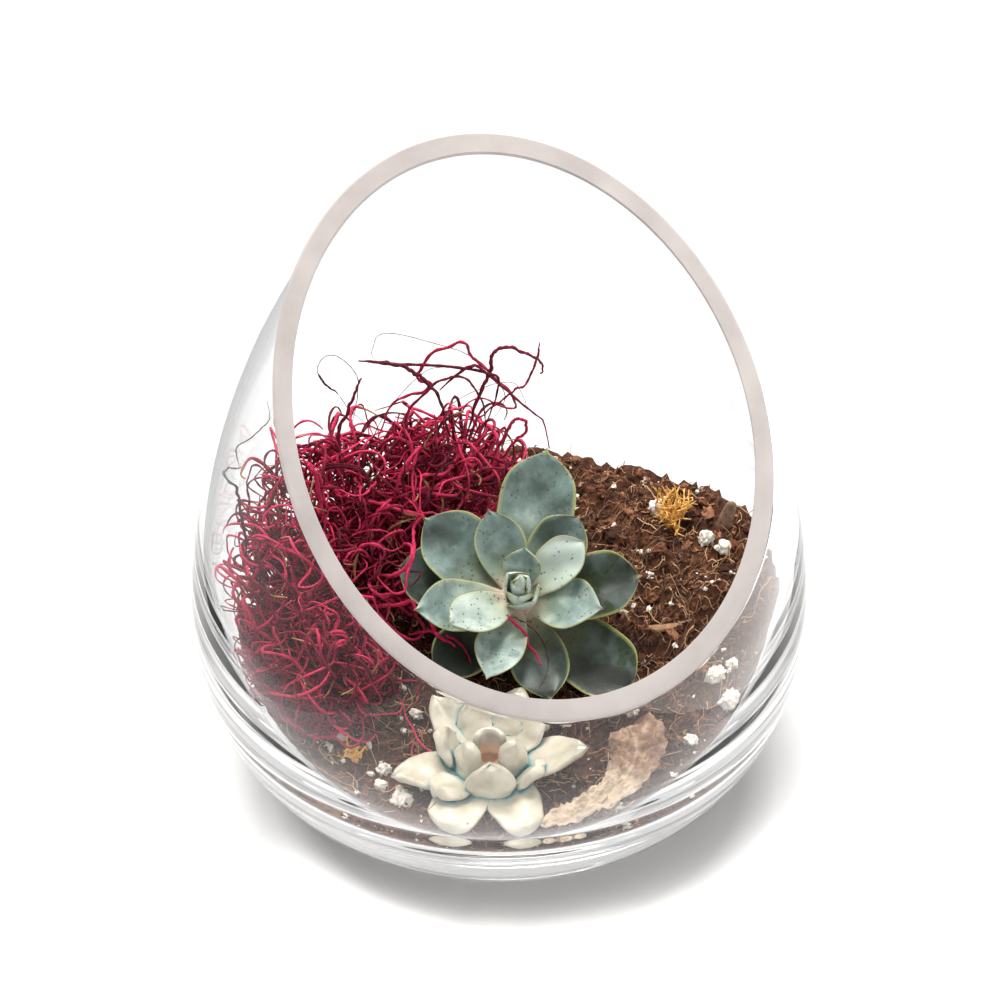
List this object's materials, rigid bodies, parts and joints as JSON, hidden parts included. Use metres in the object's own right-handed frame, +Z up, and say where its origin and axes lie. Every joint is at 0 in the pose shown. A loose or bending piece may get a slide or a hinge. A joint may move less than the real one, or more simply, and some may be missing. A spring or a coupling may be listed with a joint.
{
  "type": "succulent terrarium",
  "caption": "Clear glass bowl with a slanted mouth holding soil, a blue-green rosette succulent, dyed burgundy moss, a cream ceramic flower, perlite and a dry leaf.",
  "frame": {"origin": "middle of the foot, on the surface that the bowl stands on", "axes": "+Z up; the low lip of the slanted mouth faces -Y and its high side is at +Y; +X to the right of someone who looks in along +Y"},
  "size_m": [0.15, 0.15, 0.1514],
  "materials": {
    "clear_glass": "clear, fire polished, the cut rim ground flat and frosted",
    "potting_soil": "moist, crumbly, matte",
    "echeveria_leaf": "waxy bloom, matte",
    "cream_glaze": "satin glaze",
    "dyed_moss": "matte, fibrous",
    "dry_leaf": "matte, crumpled",
    "perlite": "matte, foamy",
    "bark": "rough, matte",
    "pale_wood": "split, matte",
    "lichen": "matte, papery"
  },
  "bodies": {
    "root": {"glass_bowl": "clear_glass", "soil": "potting_soil", "echeveria": "echeveria_leaf", "ceramic_flower": "cream_glaze", "moss_tangle": "dyed_moss", "dry_leaf": "dry_leaf", "bark_chip": "bark", "wood_splinter": "pale_wood", "lichen_back": "lichen", "lichen_front": "lichen", "perlite_01": "perlite", "perlite_02": "perlite", "perlite_03": "perlite", "perlite_04": "perlite", "perlite_05": "perlite", "perlite_06": "perlite", "perlite_07": "perlite", "perlite_08": "perlite", "perlite_09": "perlite", "perlite_10": "perlite", "perlite_11": "perlite", "perlite_12": "perlite", "perlite_13": "perlite", "perlite_14": "perlite"}
  },
  "joints": []
}
